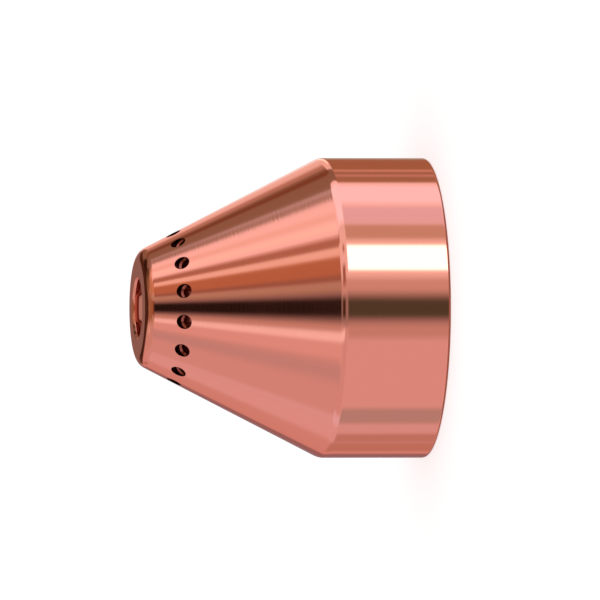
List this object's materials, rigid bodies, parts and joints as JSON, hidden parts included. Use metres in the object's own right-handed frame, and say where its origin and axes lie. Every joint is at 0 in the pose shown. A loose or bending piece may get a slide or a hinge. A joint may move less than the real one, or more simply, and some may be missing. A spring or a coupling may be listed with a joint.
{
  "type": "plasma torch shield",
  "caption": "Copper shield for a plasma cutting torch: a turned cone with a ring of gas vents behind its flat nose, and a skirt with an internal thread.",
  "frame": {"origin": "on the turning axis, in the plane of the open rim that the shield stands on", "axes": "+Z along the turning axis, from the open rim to the nose; +X passes through one of the vent holes"},
  "size_m": [0.028, 0.028, 0.0272],
  "materials": {
    "copper": "polished"
  },
  "bodies": {
    "root": {"shield": "copper"}
  },
  "joints": []
}
